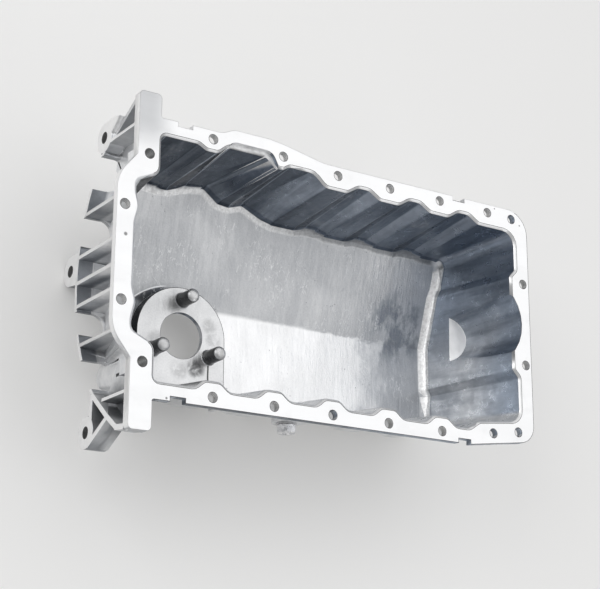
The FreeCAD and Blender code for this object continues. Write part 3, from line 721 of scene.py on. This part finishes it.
def draw_outlines(mesh, names):
    """Cuts a thin strip into the rail along its inner edge and holes, and into the seat along its outside.

    The strip is an inset of the whole region. A strip face turns dark, as a painted shade line, where it meets
    the sump's broken edge, a bore or the seat's outer side, and keeps its finish elsewhere.
    """
    rail, seat, dark = names.index("rail"), names.index("seat"), names.index("outline")
    lined = [names.index(name) for name in ("rail", "inside", "drilled")]
    work = bmesh.new()
    work.from_mesh(mesh)
    for kind in (rail, seat):
        region = [face for face in work.faces if face.material_index == kind and face.normal.z > 0.9]
        made = bmesh.ops.inset_region(
            work, faces=region, thickness=SHADE_LINE_WIDTH, use_boundary=True, use_even_offset=True)
        for face in made["faces"]:
            beyond = [other for edge in face.edges for other in edge.link_faces if other.normal.z < 0.9]
            middle = face.calc_center_median()
            if kind == rail:
                shows = any(other.material_index in lined for other in beyond)
            else:
                shows = (middle.xy - SENSOR_MIDDLE).length > SEAT_REACH and bool(beyond)
            if shows:
                face.material_index = dark
    work.to_mesh(mesh)
    work.free()


def mark_soft_edges(mesh):
    """Weights the edges over 32 degrees that the bevel can round without its neighbours crossing."""
    work = bmesh.new()
    work.from_mesh(mesh)
    weight = work.edges.layers.float.new("bevel_weight_edge")
    for edge in work.edges:
        if len(edge.link_faces) == 2 and edge.calc_face_angle(0.0) > np.radians(32) and has_room(edge):
            edge[weight] = 1.0
    work.to_mesh(mesh)
    work.free()


def has_room(edge):
    """True where the edge and those that meet it are long enough and don't run close beside it."""
    for vert in edge.verts:
        along = edge.other_vert(vert).co - vert.co
        if along.length < 0.0009:
            return False
        for other in vert.link_edges:
            if other is edge:
                continue
            reach = other.other_vert(vert).co - vert.co
            if reach.length < 0.0009 or along.angle(reach) < np.radians(24):
                return False
    return True


def keep_floor_creases(mesh):
    """Marks an edge sharp where two faces that look up meet at over 9 degrees, as at the floor's crease."""
    work = bmesh.new()
    work.from_mesh(mesh)
    for edge in work.edges:
        if len(edge.link_faces) == 2 and min(face.normal.z for face in edge.link_faces) > 0.9:
            edge.smooth = bool(edge.calc_face_angle(0.0) < np.radians(9))
    work.to_mesh(mesh)
    work.free()


def vertex_places(mesh):
    """Where the vertices of a mesh are, as an array of x, y and z."""
    places = np.empty(len(mesh.vertices) * 3)
    mesh.vertices.foreach_get("co", places)
    return places.reshape(-1, 3)


def tilt_shelf(mesh):
    """Tilts the shelf at the foot of the channel: a vertex rises by 0.3 of its distance from the front edge."""
    places = vertex_places(mesh)
    shelf = (np.abs(places[:, 2] - SHELF_Z) < 0.0006) & (places[:, 0] > 0.18) & (np.abs(places[:, 1]) < 0.04)
    front = places[shelf, 0].min()
    places[shelf, 2] += (places[shelf, 0] - front) * SHELF_TILT
    mesh.vertices.foreach_set("co", places.ravel())
    mesh.update()


def boss_height(mesh):
    """The height of the plain screw bosses' tops."""
    places = vertex_places(mesh)
    x, y = SCREW_PLACES[0]
    return places[np.hypot(places[:, 0] - x, places[:, 1] - y) < 0.007, 2].max()


pan = merged_copy("oil_pan", "pan_casting")
tilt_shelf(pan.data)
BOSS_TOP = boss_height(pan.data)
sort_faces(pan)
soften = pan.modifiers.new("soft edges", "BEVEL")
soften.width = BROKEN_EDGE
soften.segments = 2
soften.limit_method = "WEIGHT"
soften.loop_slide = False
soften.use_clamp_overlap = False
flatten = pan.modifiers.new("flat faces stay flat", "WEIGHTED_NORMAL")
flatten.mode = "FACE_AREA"
flatten.weight = 90
flatten.keep_sharp = True
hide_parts("oil_pan")
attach(pan, "pan")


def screw_boss(name, x, y):
    """A round cast boss with a domed tip and a flared foot, which stands over the plain one of the casting.

    Over the dome the radius falls with the cosine of an angle, whose sine is the height above the dome's foot
    over the dome's height. Below the top of the flared foot, the radius grows with the square of the depth.
    """
    sunk = 0.0004
    rise = np.linspace(-sunk, BOSS_FOOT, 8)
    foot = BOSS_RADIUS + BOSS_FLARE * ((BOSS_FOOT - rise) / (BOSS_FOOT + sunk)) ** 2
    turn_up = np.radians(np.linspace(0, 88, 16))
    heights = np.concatenate([SEAT_Z + rise, BOSS_TOP - BOSS_DOME + BOSS_DOME * np.sin(turn_up)])
    reach = np.concatenate([foot, (BOSS_RADIUS - 0.0002) * np.cos(turn_up)])
    turn = np.linspace(0, 2 * np.pi, 64, endpoint=False)
    across, over = reach[:, None] * np.cos(turn), reach[:, None] * np.sin(turn)
    points = np.stack([x + across, y + over, heights[:, None] + 0 * turn], axis=-1)
    return shell_object(name, points, FINISHES["bosses"], "pan", None)


def shell_object(name, points, finish, body, node):
    """A closed shell from rings of points, shape (rings, turns, 3). Each end ring closes to its middle."""
    rings, turns, _ = points.shape
    places = np.concatenate([points.reshape(-1, 3), points[[0, -1]].mean(axis=1)])
    here = np.arange(rings * turns).reshape(rings, turns)
    ahead = np.roll(here, -1, axis=1)
    quads = np.stack([here[:-1], ahead[:-1], ahead[1:], here[1:]], axis=-1).reshape(-1, 4)
    first = np.stack([np.full(turns, rings * turns), ahead[0], here[0]], axis=-1)
    last = np.stack([np.full(turns, rings * turns + 1), here[-1], ahead[-1]], axis=-1)
    faces = quads.tolist() + first.tolist() + last.tolist()
    return mesh_piece(name, places, faces, finish, body, node)


def mesh_piece(name, places, faces, finish, body, node):
    """A smooth piece with sharp creases that stands for a CAD node and rides on a body."""
    mesh = bpy.data.meshes.new(name)
    mesh.from_pydata(places.tolist(), [], faces)
    work = bmesh.new()
    work.from_mesh(mesh)
    bmesh.ops.recalc_face_normals(work, faces=work.faces)
    work.to_mesh(mesh)
    work.free()
    mesh.polygons.foreach_set("use_smooth", np.ones(len(mesh.polygons), dtype=bool))
    mesh.set_sharp_from_angle(angle=np.radians(28))
    mesh.materials.append(finish)
    piece = bpy.data.objects.new(name, mesh)
    bpy.context.scene.collection.objects.link(piece)
    if node:
        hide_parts(node)
    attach(piece, body)
    return piece


def turned_rings(radius, depth, turn, axis_x, axis_z):
    """Points at a radius round the plug's axis, along Y: x and z follow the cosine and sine of the turn."""
    return np.stack([axis_x + radius * np.cos(turn), depth, axis_z + radius * np.sin(turn)], axis=-1)


def drain_plug():
    """Hexagon head with a 30 degree chamfer at both ends, a neck, and a 1.5 mm thread down the shank.

    The head's radius at a turn is half the width across flats over the cosine of the turn from the nearest
    flat, kept under a cone that rises from the turned end face. The thread's radius falls and rises like a
    triangle wave of the depth less one pitch for each full turn. Each row holds a ring's radii and depths.
    """
    low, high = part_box("drain_plug")
    seal_low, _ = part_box("drain_plug_seal")
    axis_x, axis_z = (low.x + high.x) / 2, (low.z + high.z) / 2
    flats, shank, pitch = 0.0085, 0.00695, 0.0015
    turns = 180
    turn = np.linspace(0, 2 * np.pi, turns, endpoint=False)
    from_flat = (turn - np.pi / 2 + np.pi / 6) % (np.pi / 3) - np.pi / 6
    hexagon = flats / np.cos(from_flat)
    end, seat, tip = low.y, seal_low.y, high.y
    cone = np.tan(np.radians(30))
    rounded = np.minimum(hexagon, 0.0097)
    drop = np.maximum(rounded - 0.0081, 0) * cone
    rows = [(np.full(turns, 0.0040), np.full(turns, end + 0.0006)),
            (np.full(turns, 0.0046), np.full(turns, end)),
            (np.full(turns, 0.0079), np.full(turns, end)),
            (np.full(turns, 0.0081), np.full(turns, end + 0.00006)),
            (rounded * 0.999, end + drop + 0.0001), (rounded, end + drop + 0.0004),
            (rounded, seat - drop * 0.8 - 0.0003), (rounded * 0.996, seat - drop * 0.8 - 0.00005),
            (np.full(turns, 0.0080), np.full(turns, seat)), (np.full(turns, 0.0064), np.full(turns, seat)),
            (np.full(turns, 0.0062), np.full(turns, seat + 0.0004))]
    thread_start, steps = seat + 0.0016, 84
    for depth in np.linspace(thread_start, tip - 0.0008, steps):
        wave = np.abs(((depth / pitch - turn / (2 * np.pi)) % 1.0) * 2 - 1)
        rise = min((depth - thread_start) / 0.0012, (tip - depth) / 0.0014, 1.0)
        rows.append((shank - 0.00085 * (1 - wave * rise), np.full(turns, depth)))
    rows.append((np.full(turns, shank - 0.0016), np.full(turns, tip)))
    rings = np.stack([turned_rings(radius, depth, turn, axis_x, axis_z) for radius, depth in rows])
    return shell_object("drain_plug_threaded", rings, plated_steel(), "plug", "drain_plug")


def plated_steel():
    """Zinc plated steel: grey with faint turning lines and darker handling marks."""
    material, tree, shader, where = new_material("zinc plated steel", 0.9)
    turned = noise(tree, stretched(tree, where["Object"], (350.0, 3000.0, 350.0)), 1.0, 2.0, 0.5)
    mark = ramp(tree, noise(tree, where["Object"], 160.0, 4.0, 0.65), 0.42, 0.7)
    color = blend(tree, mark, (0.93, 0.93, 0.94, 1.0), (0.56, 0.57, 0.59, 1.0))
    rough = plus(tree, times(tree, mark, 0.18), 0.18)
    finish_shader(tree, shader, color, rough, turned, 0.12, 0.0004)
    return material


def ring_metal():
    """Soft aluminium of the sealing ring, matt with a few scuffs."""
    material, tree, shader, where = new_material("soft aluminium ring", 0.9)
    scuff = ramp(tree, noise(tree, where["Object"], 240.0, 3.0, 0.6), 0.4, 0.7)
    color = blend(tree, scuff, (0.74, 0.74, 0.75, 1.0), (0.52, 0.52, 0.53, 1.0))
    rough = plus(tree, times(tree, scuff, 0.2), 0.36)
    finish_shader(tree, shader, color, rough, scuff, 0.1, 0.0003)
    return material


def sealing_ring():
    """A flat ring with rounded edges: a rounded rectangle profile carried once round the plug's axis."""
    low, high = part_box("drain_plug_seal")
    axis_x, axis_z = (low.x + high.x) / 2, (low.z + high.z) / 2
    outer, inner = (high.x - low.x) / 2, 0.0071
    middle, half = (outer + inner) / 2, (outer - inner) / 2
    thick = (high.y - low.y) / 2
    around = np.linspace(0, 2 * np.pi, 24, endpoint=False) + np.pi / 24
    corner = 0.00045
    side = np.sign(np.cos(around)) * (half - corner) + corner * np.cos(around)
    along = np.sign(np.sin(around)) * (thick - corner) + corner * np.sin(around)
    turn = np.linspace(0, 2 * np.pi, 96, endpoint=False)
    radius = middle + side[:, None] + 0 * turn
    depth = (low.y + high.y) / 2 + along[:, None] + 0 * turn
    points = turned_rings(radius, depth, turn[None, :] + 0 * radius, axis_x, axis_z)
    rings, turns, _ = points.shape
    here = np.arange(rings * turns).reshape(rings, turns)
    over = np.roll(here, -1, axis=0)
    quads = np.stack([here, np.roll(here, -1, axis=1), np.roll(over, -1, axis=1), over], axis=-1)
    return mesh_piece("sealing_ring", points.reshape(-1, 3), quads.reshape(-1, 4).tolist(), ring_metal(),
                      "seal_carrier", "drain_plug_seal")


for number, (x, y) in enumerate(SCREW_PLACES):
    screw_boss(f"screw_boss_{number + 1}", x, y)
drain_plug()
sealing_ring()


def plain_floor():
    """A pale flat floor under the pan, which catches its shadow."""
    half = 6.0
    mesh = bpy.data.meshes.new("studio_floor")
    corners = [(-half, -half, 0), (half, -half, 0), (half, half, 0), (-half, half, 0)]
    mesh.from_pydata(corners, [], [(0, 1, 2, 3)])
    floor = bpy.data.objects.new("studio_floor", mesh)
    bpy.context.scene.collection.objects.link(floor)
    material = bpy.data.materials.new("pale floor")
    material.use_nodes = True
    shader = material.node_tree.nodes["Principled BSDF"]
    shader.inputs["Base Color"].default_value = (0.70, 0.697, 0.69, 1.0)
    shader.inputs["Roughness"].default_value = 0.9
    shader.inputs["Emission Color"].default_value = (1.0, 0.99, 0.97, 1.0)
    path = material.node_tree.nodes.new("ShaderNodeLightPath").outputs
    seen = most(material.node_tree, path["Is Camera Ray"], path["Is Glossy Ray"])
    seen = most(material.node_tree, seen, path["Is Transmission Ray"])
    wire(material.node_tree, times(material.node_tree, seen, 0.20), shader.inputs["Emission Strength"])
    mesh.materials.append(material)


def softbox(name, place, target, size, power):
    """A square area lamp that looks at a point."""
    lamp = bpy.data.lights.new(name, "AREA")
    lamp.size = size
    lamp.energy = power
    holder = bpy.data.objects.new(name, lamp)
    holder.location = place
    holder.rotation_euler = (Vector(target) - Vector(place)).to_track_quat("-Z", "Y").to_euler()
    bpy.context.scene.collection.objects.link(holder)


def studio():
    plain_floor()
    softbox("left softbox", (-2.3, 0.9, 1.9), (0.0, 0.0, 0.1), 2.0, 27.0)
    softbox("front softbox", (1.5, -1.9, 1.9), (0.0, 0.0, 0.1), 1.3, 7.0)
    bpy.context.scene.world = soft_sky()


def soft_sky():
    """Studio air: dim at the horizon and brightest overhead to the far side, like a large tilted softbox."""
    world = bpy.data.worlds.new("studio air")
    world.use_nodes = True
    tree = world.node_tree
    where = tree.nodes.new("ShaderNodeTexCoord").outputs["Generated"]
    along = tree.nodes.new("ShaderNodeVectorMath")
    along.operation = "DOT_PRODUCT"
    wire(tree, where, along.inputs[0])
    along.inputs[1].default_value = Vector((0.45, 0.42, 0.79)).normalized()
    glow = ramp(tree, along.outputs["Value"], 0.45, 0.97, 0.34, 1.27)
    back = tree.nodes["Background"]
    back.inputs["Color"].default_value = (0.985, 0.99, 1.0, 1.0)
    wire(tree, glow, back.inputs["Strength"])
    return world


def photo_camera():
    """The camera at the place, turn and lens that the bolt rows of the photograph give."""
    lens = bpy.data.cameras.new("photo camera")
    lens.sensor_fit = "HORIZONTAL"
    lens.sensor_width = 36.0
    lens.lens = FOCAL_IN_PICTURE_WIDTHS * lens.sensor_width
    holder = bpy.data.objects.new("photo camera", lens)
    turn = Matrix((CAMERA_RIGHT, CAMERA_UP, CAMERA_BACK)).transposed()
    holder.matrix_world = Matrix.Translation(CAMERA_PLACE) @ turn.to_4x4()
    bpy.context.scene.collection.objects.link(holder)
    bpy.context.scene.camera = holder


studio()
photo_camera()
bpy.context.scene.view_settings.view_transform = "Standard"
